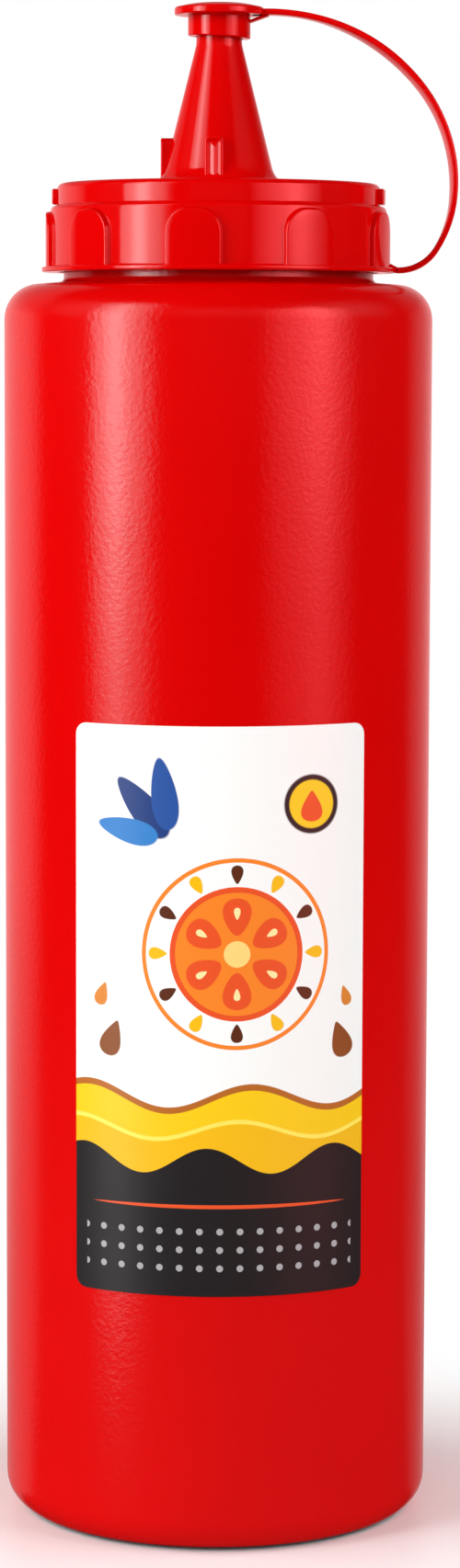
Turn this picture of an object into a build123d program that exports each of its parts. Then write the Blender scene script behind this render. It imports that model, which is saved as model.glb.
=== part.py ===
"""Squeeze bottle for sauce, with a screw cap, a nozzle and a tip cap on a strap.

The bottle stands on the XY plane with its axis on Z, and the strap lies in the XZ
plane on the +X side. All lengths are millimetres and all angles are degrees.
"""

from build123d import *
import math
import os

# Bottle, blow-moulded
body_radius = 40.0
shoulder_height = 232.0
shoulder_rise = 0.4
shoulder_corner = 5.2
wall = 1.0
base_corner = 6.8
foot_width = 4.4
push_up = 3.2
push_up_slope = 5.0
neck_radius = 28.9
neck_wall = 2.1
neck_height = 16.5
lead_height = 3.4
lead_step = 0.7
lip_chamfer = 0.25

# Label, wrapped round the front of the bottle
label_width = 57.0
label_height = 104.3
label_bottom = 48.5
label_corner = 2.2
label_thickness = 0.1
label_glue = 0.1
label_clocking = 6.0

# Sealing ring on the bottle's lip
seal_thickness = 0.8
seal_width = 3.2
seal_edge_gap = 0.3

# Screw cap, injection-moulded
thread_room = 1.2
cap_wall = 1.2
cap_lift = 2.0
flange_width = 1.7
flange_thickness = 0.95
ring_width = 1.6
ring_height = 4.2
ledge_thickness = 1.2
deck_thickness = 1.5
flange_chamfer = 0.3
step_chamfer = 0.6
deck_chamfer = 0.8

# Grip pads round the screw cap
pad_count = 10
pad_width = 9.8
pad_height = 10.3
pad_proud = 1.0
pad_chamfer = 0.4
pad_root = 0.3

# Lugs on the upper ring, one over the strap and one opposite
lug_width = 20.0
lug_height = 2.4
lug_drop = 1.2
lug_proud = 0.7
lug_chamfer = 0.25

# Nozzle
nozzle_height = 31.0
nozzle_tip_radius = 4.25
nozzle_tip_length = 5.3
cone_angle = 14.1
nozzle_wall = 1.5
outlet_radius = 2.5
foot_flare = 1.8
tip_chamfer = 0.3

# Ribs at the foot of the nozzle
rib_width = 3.3
rib_reach = 10.6
rib_height = 8.8
rib_chamfer = 0.6

# Tip cap, pushed on to the nozzle
disc_radius = 8.3
disc_edge = 1.2
disc_crown = 0.7
disc_brow = 4.8
disc_chamfer = 0.3
skirt_clearance = 0.2
skirt_wall = 1.35
skirt_length = 4.1
skirt_slope = 3.0
seat_gap = 0.1
plug_clearance = 0.3
plug_length = 3.2
plug_chamfer = 0.5
gusset_width = 2.4
gusset_drop = 1.6

# Strap between the two caps
strap_width = 4.0
strap_thickness = 1.1
strap_tab = 0.7
strap_turns = (51.0, 45.0, 26.0, 58.0)
strap_low_radius = 21.0
strap_root_radius = 8.1
root_gusset = 1.2

# Levels and radii that follow from the sizes above
neck_top = shoulder_height + neck_height
lead_top_radius = neck_radius - lead_step
lead_base = neck_top - lead_height
neck_bore_radius = neck_radius - neck_wall
seal_top = neck_top + seal_thickness
seal_bore_radius = lead_top_radius - seal_width
deck_level = seal_top + deck_thickness
cap_base = shoulder_height + shoulder_rise + cap_lift
cap_bore_radius = neck_radius + thread_room
grip_radius = cap_bore_radius + cap_wall
flange_radius = grip_radius + flange_width
flange_level = cap_base + flange_thickness
ring_bore_radius = lead_top_radius + seal_edge_gap
ring_radius = ring_bore_radius + ring_width
step_level = deck_level - ring_height
ledge_level = step_level - ledge_thickness
nozzle_top = deck_level + nozzle_height
disc_level = nozzle_top + seat_gap
skirt_bore_radius = nozzle_tip_radius + skirt_clearance
skirt_radius = skirt_bore_radius + skirt_wall
strap_top_x = disc_radius + strap_tab
strap_top_z = disc_level + strap_thickness / 2
strap_root_x = flange_radius + strap_tab
strap_root_z = cap_base + flange_thickness / 2

os.makedirs("parts", exist_ok=True)


def corner(profile, radius, height):
    """The vertex of a profile nearest to a radius and a height."""
    return profile.vertices().sort_by_distance(Vector(radius, height, 0))[0]


def one_flat(profile, radius, height, size):
    """Ease a corner of a profile with a single flat."""
    chamfer(corner(profile, radius, height), size)


def three_flats(profile, radius, height, size):
    """Ease a corner of a profile with three flats that touch an arc of this radius."""
    outer_reach = size * math.tan(math.radians(22.5))
    inner_reach = size * math.tan(math.radians(11.25))
    chamfer(corner(profile, radius, height), size - outer_reach)
    ends = profile.vertices().sort_by_distance(Vector(radius, height, 0))[:2]
    chamfer(ends, outer_reach - inner_reach)


def bottle_profile(inset, neck, top, ease):
    """Half section of the bottle, drawn in by a wall and closed at the axis.

    The base and shoulder corners are eased in the way that is given.
    """
    radius = body_radius - inset
    shoulder = shoulder_height - inset
    foot_inner = body_radius - base_corner - foot_width
    with BuildSketch(Plane.XZ) as profile:
        with BuildLine():
            Polyline(
                (0, push_up + inset),
                (foot_inner - push_up_slope, push_up + inset),
                (foot_inner, inset),
                (radius, inset),
                (radius, shoulder),
                (neck, shoulder + shoulder_rise),
                (neck, top),
                (0, top),
                close=True,
            )
        make_face()
        ease(profile, radius, inset, base_corner - 2 * inset)
        ease(profile, radius, shoulder, shoulder_corner - 2 * inset)
    return profile.sketch


# Bottle: a hollow turned form with a pushed-up base and a wide neck
with BuildPart() as bottle:
    add(bottle_profile(0, neck_radius, lead_base, three_flats))
    revolve(axis=Axis.Z)
    with BuildSketch(Plane.XZ) as lead:
        with BuildLine():
            Polyline(
                (0, lead_base),
                (neck_radius, lead_base),
                (lead_top_radius, lead_base + lead_step / 2),
                (lead_top_radius, neck_top),
                (0, neck_top),
                close=True,
            )
        make_face()
        chamfer(corner(lead, lead_top_radius, neck_top), lip_chamfer)
    revolve(axis=Axis.Z)
    add(bottle_profile(wall, neck_bore_radius, neck_top + wall, one_flat))
    revolve(axis=Axis.Z, mode=Mode.SUBTRACT)
bottle.part.label = "bottle"

# Label: a sheet on the bottle's side, turned a little from the strap's plane
label_arc = math.degrees(label_width / body_radius)
label_start = -90 + label_clocking - label_arc / 2
with BuildPart() as front_label:
    with BuildSketch(Plane.XZ.rotated((0, 0, label_start))):
        with Locations((body_radius + label_glue, label_bottom)):
            Rectangle(label_thickness, label_height, align=Align.MIN)
    revolve(axis=Axis.Z, revolution_arc=label_arc)
    corners = front_label.edges().filter_by(GeomType.LINE).filter_by(
        lambda edge: edge.length < 2 * label_thickness
    )
    fillet(corners, label_corner)
front_label.part.label = "front_label"

# Sealing ring: a flat washer between the lip and the underside of the deck
with BuildPart() as sealing_ring:
    with BuildSketch(Plane.XY.offset(neck_top)):
        Circle(lead_top_radius)
        Circle(seal_bore_radius, mode=Mode.SUBTRACT)
    extrude(amount=seal_thickness)
sealing_ring.part.label = "sealing_ring"


def raised_pad(outline, inner_radius, outer_radius, bevel, foot=True):
    """A pad on the -Y side, with its outline drawn in XZ, between two radii.

    A foot is left square, because it runs into the face that the pad stands on.
    """
    with BuildPart() as pad:
        with BuildSketch(Plane.XZ.offset(outer_radius + pad_proud)):
            add(outline)
        extrude(amount=-outer_radius)
        with BuildSketch() as tube:
            Circle(outer_radius)
            Circle(inner_radius, mode=Mode.SUBTRACT)
        extrude(tube.sketch, amount=nozzle_top, mode=Mode.INTERSECT)
        rim = pad.faces().sort_by(Axis.Y)[0].edges().sort_by(Axis.Z)
        chamfer(rim[1:] if foot else rim, bevel)
    return pad.part


# Outlines of the raised forms, seen from the front
with BuildSketch() as arch_outline:
    with Locations((0, flange_level)):
        Rectangle(pad_width, pad_height - pad_width / 2, align=(Align.CENTER, Align.MIN))
    with Locations((0, flange_level + pad_height - pad_width / 2)):
        Circle(pad_width / 2)
with BuildSketch() as lug_outline:
    with Locations((0, deck_level - lug_drop)):
        Rectangle(lug_width, lug_height, align=(Align.CENTER, Align.MAX))
with BuildSketch() as rib_outline:
    with Locations((0, deck_level - deck_thickness)):
        Rectangle(
            rib_width,
            deck_thickness + rib_height - rib_width / 2,
            align=(Align.CENTER, Align.MIN),
        )
    with Locations((0, deck_level + rib_height - rib_width / 2)):
        Circle(rib_width / 2)

grip_pad = raised_pad(
    arch_outline.sketch, grip_radius - pad_root, grip_radius + pad_proud, pad_chamfer
)
lug = raised_pad(
    lug_outline.sketch, ring_radius - pad_root, ring_radius + lug_proud, lug_chamfer, foot=False
)
rib = raised_pad(rib_outline.sketch, nozzle_tip_radius, rib_reach, rib_chamfer)

# Radius of the cone where its straight side would meet the deck
cone_length = nozzle_height - nozzle_tip_length
cone_slope = math.tan(math.radians(cone_angle))
cone_foot_radius = nozzle_tip_radius + cone_length * cone_slope
cone_wall = nozzle_wall / math.cos(math.radians(cone_angle))
hollow_foot_radius = cone_foot_radius + deck_thickness * cone_slope - cone_wall
hollow_top = seal_top + (hollow_foot_radius - outlet_radius) / cone_slope

# Screw cap: flange, grip ring, upper ring, deck and nozzle in one moulding
with BuildPart() as screw_cap:
    with BuildSketch(Plane.XZ) as outside:
        with BuildLine():
            Polyline(
                (0, cap_base),
                (flange_radius, cap_base),
                (flange_radius, flange_level),
                (grip_radius, flange_level),
                (grip_radius, step_level),
                (ring_radius, step_level),
                (ring_radius, deck_level),
                (cone_foot_radius, deck_level),
                (nozzle_tip_radius, deck_level + cone_length),
                (nozzle_tip_radius, nozzle_top),
                (0, nozzle_top),
                close=True,
            )
        make_face()
        chamfer(corner(outside, flange_radius, flange_level), flange_chamfer)
        chamfer(corner(outside, grip_radius, step_level), step_chamfer)
        chamfer(corner(outside, ring_radius, deck_level), deck_chamfer)
        chamfer(corner(outside, cone_foot_radius, deck_level), foot_flare)
        chamfer(corner(outside, nozzle_tip_radius, nozzle_top), tip_chamfer)
    revolve(axis=Axis.Z)

    # Raised forms on the outside
    with PolarLocations(0, pad_count):
        add(grip_pad)
    with PolarLocations(0, 2, start_angle=90):
        add(lug)
    with PolarLocations(0, 3, start_angle=-180, angular_range=180, endpoint=True):
        add(rib)

    # Tab and gusset where the strap leaves the flange
    with BuildSketch(Plane.XZ) as tab:
        with BuildLine():
            Polyline(
                (grip_radius - pad_root, cap_base),
                (strap_root_x, cap_base),
                (strap_root_x, flange_level),
                (grip_radius, flange_level + root_gusset),
                (grip_radius - pad_root, flange_level + root_gusset),
                close=True,
            )
        make_face()
    extrude(amount=strap_width / 2, both=True)

    # Hollow for the neck, the sealing ring and the sauce
    with BuildSketch(Plane.XZ) as inside:
        with BuildLine():
            Polyline(
                (0, cap_base),
                (cap_bore_radius, cap_base),
                (cap_bore_radius, ledge_level),
                (ring_bore_radius, ledge_level),
                (ring_bore_radius, seal_top),
                (hollow_foot_radius, seal_top),
                (outlet_radius, hollow_top),
                (outlet_radius, nozzle_top),
                (0, nozzle_top),
                close=True,
            )
        make_face()
    revolve(axis=Axis.Z, mode=Mode.SUBTRACT)
screw_cap.part.label = "screw_cap"

# Tip cap: a crowned disc with a skirt round the nozzle and a plug inside it
with BuildPart() as tip_cap:
    disc_top = disc_level + disc_edge
    with BuildSketch(Plane.XZ) as disc:
        with BuildLine():
            Polyline(
                (0, disc_level),
                (disc_radius, disc_level),
                (disc_radius, disc_top),
                (disc_radius - disc_brow, disc_top + disc_crown),
                (0, disc_top + disc_crown),
                close=True,
            )
        make_face()
        chamfer(corner(disc, disc_radius, disc_level), disc_chamfer)
        chamfer(corner(disc, disc_radius, disc_top), disc_chamfer)
    revolve(axis=Axis.Z)

    # Skirt, cut off at a slight slope
    with BuildSketch(Plane.XY.offset(disc_level)):
        Circle(skirt_radius)
        Circle(skirt_bore_radius, mode=Mode.SUBTRACT)
    extrude(amount=-2 * skirt_length)
    slope = math.radians(skirt_slope)
    split(
        bisect_by=Plane(
            origin=(0, 0, disc_level - skirt_length),
            z_dir=(math.sin(slope), 0, math.cos(slope)),
        ),
        keep=Keep.TOP,
    )

    # Plug with a chamfered end
    with BuildSketch(Plane.XY.offset(disc_level)):
        Circle(outlet_radius - plug_clearance)
    extrude(amount=-plug_length)
    plug_end = tip_cap.faces().filter_by(Plane.XY).sort_by(Axis.Z)[0]
    chamfer(plug_end.edges(), plug_chamfer)

    # Tab and gusset where the strap meets the disc
    with BuildSketch(Plane.XZ):
        with Locations((skirt_radius, disc_level)):
            Rectangle(strap_top_x - skirt_radius, strap_thickness, align=Align.MIN)
    extrude(amount=strap_width / 2, both=True)
    with BuildSketch(Plane.XZ):
        with BuildLine():
            Polyline(
                (skirt_radius - skirt_wall / 2, disc_level),
                (strap_top_x, disc_level),
                (skirt_radius, disc_level - gusset_drop),
                (skirt_radius - skirt_wall / 2, disc_level - gusset_drop),
                close=True,
            )
        make_face()
    extrude(amount=gusset_width / 2, both=True)
tip_cap.part.label = "tip_cap"


def arc_travel(heading, turn):
    """How far a right-hand arc of radius 1 goes, from a heading in degrees."""
    start = math.radians(heading)
    end = math.radians(heading - turn)
    return Vector(math.sin(start) - math.sin(end), math.cos(end) - math.cos(start))


def strap_radii():
    """Radii of the strap's four arcs, the first two worked out from its two ends."""
    headings = (
        0,
        -strap_turns[0],
        -strap_turns[0] - strap_turns[1],
        -strap_turns[0] - strap_turns[1] - strap_turns[2],
    )
    steps = [arc_travel(heading, turn) for heading, turn in zip(headings, strap_turns)]
    rest = Vector(strap_root_x - strap_top_x, strap_root_z - strap_top_z)
    rest -= steps[2] * strap_low_radius + steps[3] * strap_root_radius
    area = steps[0].X * steps[1].Y - steps[0].Y * steps[1].X
    top = (rest.X * steps[1].Y - rest.Y * steps[1].X) / area
    side = (steps[0].X * rest.Y - steps[0].Y * rest.X) / area
    return (top, side, strap_low_radius, strap_root_radius)


# Strap: one band that bows out from the disc and turns in under the grip ring
with BuildPart() as tether_strap:
    with BuildSketch(Plane.XZ):
        with BuildLine() as course:
            end = (strap_top_x, strap_top_z)
            direction = (1, 0)
            for radius, turn in zip(strap_radii(), strap_turns):
                arc = JernArc(end, direction, radius, -turn)
                end = arc @ 1
                direction = arc % 1
        trace(line_width=strap_thickness)
    extrude(amount=strap_width / 2, both=True)
tether_strap.part.label = "tether_strap"
print("strap arcs", [round(radius, 2) for radius in strap_radii()])
print("strap length", round(sum(arc.length for arc in course.edges()), 2))

export_step(bottle.part, "parts/bottle.step")
export_step(front_label.part, "parts/front_label.step")
export_step(sealing_ring.part, "parts/sealing_ring.step")
export_step(screw_cap.part, "parts/screw_cap.step")
export_step(tip_cap.part, "parts/tip_cap.step")
export_step(tether_strap.part, "parts/tether_strap.step")
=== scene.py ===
# %% [markdown]
# # A squeeze bottle for sauce
# The real object is a one-litre bottle, blow-moulded in soft red plastic, with a screw cap
# that was injection-moulded in a harder, glossier red. A tall cone nozzle stands on the cap,
# and a small push-on tip cap is held to it by a bent strap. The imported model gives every
# piece its place and size. This lesson dresses it: true rounded corners, threads, a printed
# label and the two kinds of plastic.

# %% Load the frame
import math

import bmesh
import bpy
from mathutils import Matrix, Vector


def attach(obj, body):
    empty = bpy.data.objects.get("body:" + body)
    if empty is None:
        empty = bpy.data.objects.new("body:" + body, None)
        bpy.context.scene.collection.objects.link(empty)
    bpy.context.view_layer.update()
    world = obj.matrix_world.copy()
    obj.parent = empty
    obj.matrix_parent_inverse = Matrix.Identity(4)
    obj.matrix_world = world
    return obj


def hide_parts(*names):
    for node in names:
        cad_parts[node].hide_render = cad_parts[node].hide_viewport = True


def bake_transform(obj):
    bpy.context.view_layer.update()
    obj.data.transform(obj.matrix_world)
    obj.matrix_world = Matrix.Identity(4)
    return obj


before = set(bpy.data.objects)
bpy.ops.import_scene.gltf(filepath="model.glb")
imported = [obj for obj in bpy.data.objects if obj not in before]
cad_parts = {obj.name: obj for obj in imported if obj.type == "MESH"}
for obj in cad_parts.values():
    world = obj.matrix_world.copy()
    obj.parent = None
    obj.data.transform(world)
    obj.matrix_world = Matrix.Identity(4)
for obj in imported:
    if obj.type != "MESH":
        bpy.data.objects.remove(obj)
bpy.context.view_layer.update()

# %% [markdown]
# ## Small helpers
# Sizes are written in millimetres, as on a drawing, and Blender works in metres. Colours are
# picked on a screen as sRGB hex codes, and shaders need linear light, so one function turns
# them. Node trees are easier to read when each node takes one line, so one function adds any
# node with its settings, and another gives a node its values and links. Two more start a node
# group and a material.

# %% Millimetres, colours and nodes
MM = 0.001


def linear(code):
    """An sRGB hex colour as linear red, green, blue and alpha."""
    parts = [int(code[i:i + 2], 16) / 255 for i in (1, 3, 5)]
    light = [c / 12.92 if c <= 0.04045 else ((c + 0.055) / 1.055) ** 2.4 for c in parts]
    return (*light, 1.0)


def feed(node, inputs):
    """Give a node its inputs: values, or sockets of other nodes to link from."""
    for key, value in inputs.items():
        named = [s for s in node.inputs if s.enabled and s.name == key]
        socket = named[0] if named else node.inputs[key]
        if isinstance(value, bpy.types.NodeSocket):
            node.id_data.links.new(value, socket)
        else:
            socket.default_value = value


def add(tree, kind, inputs=None, **settings):
    """Add a node with its settings and inputs."""
    node = tree.nodes.new(kind)
    for key, value in settings.items():
        setattr(node, key, value)
    feed(node, inputs or {})
    return node


def with_sockets(group, outputs, inputs):
    """Give a node group its named sockets, by name and kind, and return its inputs."""
    for way, kinds in (("OUTPUT", outputs), ("INPUT", inputs)):
        for name, kind in kinds.items():
            group.interface.new_socket(name, in_out=way, socket_type="NodeSocket" + kind)
    return add(group, "NodeGroupInput").outputs


def new_material(name):
    """A new material, its node tree and its main shader."""
    material = bpy.data.materials.new(name)
    material.use_nodes = True
    return material, material.node_tree, material.node_tree.nodes["Principled BSDF"]


RED_PIGMENT = ("#D60001", "#CE0000")
print("pigment red as linear light:", [round(c, 3) for c in linear(RED_PIGMENT[0])])

# %% [markdown]
# ## The camera
# The curved edges of the label, the base and the cap fix where the eye was: about 0.78 m away
# and 0.22 m up, a little above the middle, looking 6 degrees down. A camera could be placed by
# eye, but the turn of those curves only comes right at one distance, so it was worked out.

# %% Camera
# Distance and height in mm, turns in degrees, and the focal length in pixels of the photograph.
EYE_DISTANCE = 776.4
EYE_HEIGHT = 220.5
EYE_TURN = 5.0
LOOK_DOWN = 6.05
LOOK_ASIDE = -0.18
LEAN = 0.18
FOCAL_PIXELS = 4480.8
PHOTO_HEIGHT = 1706
SENSOR = 36.0

camera = bpy.data.objects.new("camera", bpy.data.cameras.new("camera"))
bpy.context.scene.collection.objects.link(camera)
straight_ahead = Vector((0, -EYE_DISTANCE, EYE_HEIGHT)) * MM
eye = Matrix.Rotation(math.radians(EYE_TURN), 4, "Z") @ straight_ahead
camera.matrix_world = (
    Matrix.Translation(eye)
    @ Matrix.Rotation(math.radians(EYE_TURN + LOOK_ASIDE), 4, "Z")
    @ Matrix.Rotation(math.radians(90 - LOOK_DOWN), 4, "X")
    @ Matrix.Rotation(math.radians(LEAN), 4, "Z")
)
camera.data.sensor_width = SENSOR
camera.data.lens = FOCAL_PIXELS / PHOTO_HEIGHT * SENSOR
camera.data.clip_start = 0.01
bpy.context.scene.camera = camera
print("lens", round(camera.data.lens, 2), "mm, eye at", [round(x, 3) for x in eye])

# %% [markdown]
# ## Floor and light
# The object stands on a white floor that fades into a white surround, so no line shows where
# one turns into the other. A tall soft box on the left gives the strong highlight and a weaker
# one on the right the second. Between the two the studio is dark, which is what makes the red
# look deep. A wide screen behind shows only in the two edges, where plastic reflects most. Three
# fills from the left, the right and the front, and one that stands for the glow of the floor,
# light the red evenly and are kept out of the shine. White light in the shine greys a red, and
# the photograph keeps its right highlight and its edges red, so the right box and the screen
# each have a red twin just in front that only the shine shows. A ready-made sky picture would
# light the scene too, but boxes can be moved until each highlight lies where it should.

# %% Floor
FLOOR_REACH = 0.13
FLOOR_FADE = 0.035

floor_mesh = bpy.data.meshes.new("floor")
square = ((-1, -1), (1, -1), (1, 1), (-1, 1))
floor_corners = [(x * FLOOR_REACH, y * FLOOR_REACH, 0) for x, y in square]
floor_mesh.from_pydata(floor_corners, [], [(0, 1, 2, 3)])
floor = bpy.data.objects.new("floor", floor_mesh)
bpy.context.scene.collection.objects.link(floor)

# Coated white paper, half matt: it shows the shadow and a blurred glow of the red at the foot,
# and no sharp reflection.
paper, tree, shader = new_material("white_paper_floor")
spot = add(tree, "ShaderNodeTexCoord").outputs["Object"]
from_middle = add(tree, "ShaderNodeVectorMath", {0: spot}, operation="LENGTH")
fade = add(tree, "ShaderNodeMapRange", {
    "Value": from_middle.outputs["Value"], "From Min": FLOOR_FADE, "From Max": FLOOR_REACH,
    "To Min": 1.0, "To Max": 0.0}, interpolation_type="SMOOTHSTEP")
feed(shader, {
    "Base Color": linear("#FFFFFF"), "Roughness": 0.35, "Alpha": fade.outputs["Result"]})
floor_mesh.materials.append(paper)
# The floor lights nothing itself. A box of its own does that further on, and can be set.
floor.visible_glossy = False
floor.visible_diffuse = False
print("floor fades from", FLOOR_FADE, "to", FLOOR_REACH, "m")

# %% Soft boxes
AIM = Vector((0, 0, 0.2))
EVEN = ((0, 1), (1, 1))


def soft_box(name, angle, distance, height, size, radiance, across=EVEN, up=EVEN, aim=AIM,
             tint="#FFFFFF", glints=True, glow=True):
    """A rectangle of light, at an angle in degrees from the camera, which the camera can't see.

    Its brightness across and up is a list of places and shares, because a soft box is
    brighter in front of its lamp and fades towards an edge that is turned away. Without
    glints it stays out of the shine, and without glow only the shine shows it.
    """
    lamp = bpy.data.lights.new(name, "AREA")
    lamp.shape = "RECTANGLE"
    lamp.size, lamp.size_y = size
    lamp.energy = radiance * math.pi * size[0] * size[1]
    lamp.color = linear(tint)[:3]
    lamp.use_nodes = True
    cloth = lamp.node_tree
    place = add(cloth, "ShaderNodeNewGeometry")
    sides = add(cloth, "ShaderNodeSeparateXYZ", {0: place.outputs["Parametric"]})
    both = []
    for side, stops in (("X", across), ("Y", up)):
        shares = add(cloth, "ShaderNodeValToRGB", {"Fac": sides.outputs[side]})
        for spot, share in stops[2:]:
            shares.color_ramp.elements.new(spot)
        for stop, (spot, share) in zip(shares.color_ramp.elements, stops):
            stop.position = spot
            stop.color = (share, share, share, 1)
        both.append(shares.outputs["Color"])
    product = add(cloth, "ShaderNodeMath", {0: both[0], 1: both[1]}, operation="MULTIPLY")
    feed(cloth.nodes["Emission"], {"Strength": product.outputs[0]})
    box = bpy.data.objects.new(name, lamp)
    bpy.context.scene.collection.objects.link(box)
    turn = math.radians(EYE_TURN + angle)
    box.location = (distance * math.sin(turn), -distance * math.cos(turn), height)
    box.rotation_euler = (aim - box.location).to_track_quat("-Z", "Y").to_euler()
    box.visible_camera = False
    box.visible_glossy = glints
    box.visible_diffuse = glow


print("a box aims at a height of", round(AIM.z, 2), "m, unless it is told otherwise")

# %% The boxes in their places
# Each box: angle in degrees, distance and height in metres, width and height in metres, radiance.
LEFT_AIM = Vector((0, 0, 0.138))
LEFT_ACROSS = ((0, 0.3), (0.2, 0.5), (0.34, 1), (0.44, 0.95),
               (0.58, 0.44), (0.78, 0.26), (0.9, 0.05), (1, 0))
LEFT_UP = ((0, 0.4), (0.1, 0.34), (0.27, 0.25), (0.34, 0.55),
           (0.387, 1), (0.459, 1), (0.865, 0.6), (1, 0.5))
RIGHT_SIZE = (0.97, 0.86)
RIGHT_ACROSS = ((0, 0), (0.26, 0.4), (0.45, 0.68), (0.56, 1),
                (0.64, 1), (0.78, 0.5), (0.9, 0.2), (1, 0.06))
RIGHT_UP = ((0, 0.05), (0.2, 0.22), (0.33, 0.3), (0.42, 0.6), (0.5, 1), (1, 1))
SCREEN_AIM = Vector((0, 0, 0.5))
SCREEN_SIZE = (4.8, 2.2)
SCREEN_ACROSS = ((0, 0.1), (0.13, 0.35), (0.25, 0.55), (0.4, 1), (0.8, 1), (1, 0.25))
SCREEN_UP = ((0, 0.4), (0.15, 0.55), (0.24, 0.9), (0.32, 1), (0.45, 1), (0.6, 0.4), (1, 0.3))
FILL_SIZE = (0.9, 0.5)
SKYWARD = Vector((0, 0, 5))
TWIN_RED = "#FF0000"

soft_box("left_box", -50.5, 0.9635, 0.3615, (0.67, 1.22), 7.5, LEFT_ACROSS, LEFT_UP, LEFT_AIM)
soft_box("right_box", 49, 0.95, 0.31, RIGHT_SIZE, 2.05, RIGHT_ACROSS, RIGHT_UP, tint="#F4F6FF")
soft_box("right_red_twin", 49, 0.94, 0.31, RIGHT_SIZE, 7.4, RIGHT_ACROSS, RIGHT_UP,
         tint=TWIN_RED, glow=False)
soft_box("left_fill", -72, 0.8, 0.6, FILL_SIZE, 4.2, glints=False)
soft_box("right_fill", 75, 0.8, 0.6, FILL_SIZE, 4.0, glints=False)
soft_box("front_fill", 0, 1.0, 0.6, (0.8, 0.5), 2.05, glints=False)
soft_box("floor_bounce", 0, 0.05, 0.001, (1.0, 1.0), 0.85, aim=SKYWARD, glints=False)
soft_box("screen", 187, 1.2, 0.5, SCREEN_SIZE, 0.5, SCREEN_ACROSS, SCREEN_UP, SCREEN_AIM)
soft_box("screen_red_twin", 187, 1.19, 0.5, SCREEN_SIZE, 0.5, SCREEN_ACROSS, SCREEN_UP, SCREEN_AIM,
         tint=TWIN_RED, glow=False)

# %% White surround
SURROUND_SEEN = 1.0
SURROUND_LIGHT = 0.02

world = bpy.data.worlds.new("studio")
bpy.context.scene.world = world
world.use_nodes = True
tree = world.node_tree
lit = add(tree, "ShaderNodeLightPath")
strength = add(tree, "ShaderNodeMapRange", {
    "Value": lit.outputs["Is Camera Ray"], "To Min": SURROUND_LIGHT, "To Max": SURROUND_SEEN})
feed(tree.nodes["Background"], {
    "Strength": strength.outputs["Result"], "Color": linear("#FFFFFF")})
bpy.context.scene.view_settings.view_transform = "Standard"
print("the surround gives", SURROUND_LIGHT, "of the light that it shows")

# %% [markdown]
# ## Turning a profile
# A bottle, a cap and a nozzle are round, so each is half a section turned about the axis. A
# Spin or Screw would do it too, but a short function keeps the corner rounds and the pole at
# the axis in hand. The corners are where moulded plastic catches light, so each one has its
# own radius, written beside its point.

# %% Rounded profiles and turned forms
ON_AXIS = 1e-6


def rounded(points, steps=6, closed=False):
    """A profile with round corners, from points of radius, height and corner radius."""
    path = []
    count = len(points)
    for i, (x, z, radius) in enumerate(points):
        here = Vector((x, z))
        if radius == 0 or (not closed and i in (0, count - 1)):
            path.append(here)
            continue
        back = (Vector(points[i - 1][:2]) - here).normalized()
        ahead = (Vector(points[(i + 1) % count][:2]) - here).normalized()
        half = back.angle(ahead) / 2
        centre = here + (back + ahead).normalized() * radius / math.sin(half)
        start = here + back * radius / math.tan(half) - centre
        bend = math.copysign(math.pi - 2 * half, ahead.cross(back))
        for step in range(steps + 1):
            path.append(centre + Matrix.Rotation(bend * step / steps, 2) @ start)
    return path


def turned(profile, steps=256, closed=False):
    """A bmesh made by turning a profile in mm round Z, with one vertex at each pole."""
    build = bmesh.new()
    angles = [2 * math.pi * i / steps for i in range(steps)]
    rings = []
    for radius, height in profile:
        if radius < ON_AXIS:
            rings.append([build.verts.new((0, 0, height * MM))] * steps)
        else:
            ring = [(radius * math.cos(a), radius * math.sin(a), height) for a in angles]
            rings.append([build.verts.new(Vector(p) * MM) for p in ring])
    for low, high in zip(rings, rings[1:] + (rings[:1] if closed else [])):
        for i in range(steps):
            j = (i + 1) % steps
            face = list(dict.fromkeys((low[i], low[j], high[j], high[i])))
            build.faces.new(face)
    bmesh.ops.recalc_face_normals(build, faces=build.faces)
    return build


def piece(name, build, material, sharp=40):
    """An object at the origin from a bmesh, smooth but for edges over an angle."""
    mesh = bpy.data.meshes.new(name)
    build.to_mesh(mesh)
    build.free()
    mesh.shade_smooth()
    mesh.set_sharp_from_angle(angle=math.radians(sharp))
    mesh.materials.append(material)
    made = bpy.data.objects.new(name, mesh)
    bpy.context.scene.collection.objects.link(made)
    print(name, len(mesh.polygons), "faces")
    return made


print("a round corner takes", len(rounded([(0, 0, 0), (5, 0, 1), (5, 5, 0)])) - 2, "points")

# %% [markdown]
# ## Two red plastics
# The bottle is low-density polyethylene, blown against a fine-blasted steel mould, so it is
# satin with a fine grain, and the soft wall lets a little light in under the surface. The cap
# is polypropylene shot into a polished mould, so it shows the soft boxes with hard edges.
# Both take the same red pigment. One material for both would be quicker, but the difference
# in gloss is the first thing the eye notices here.

# %% Blown polyethylene: satin, fine grain, slightly soft
# The grit of a blasted mould is about 0.1 mm and too fine to show. The grain here is the
# coarser orange peel that it leaves in a soft wall, which breaks up the edges of a highlight.
# The wall also swells and sinks a little over a few centimetres, which makes them waver.
GRAIN_MM = 0.9
GRAIN_DEPTH_MM = 0.045
WALL_WAVE_MM = 26.0
WALL_WAVE_DEPTH_MM = 0.12
SATIN = (0.13, 0.18)

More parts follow.
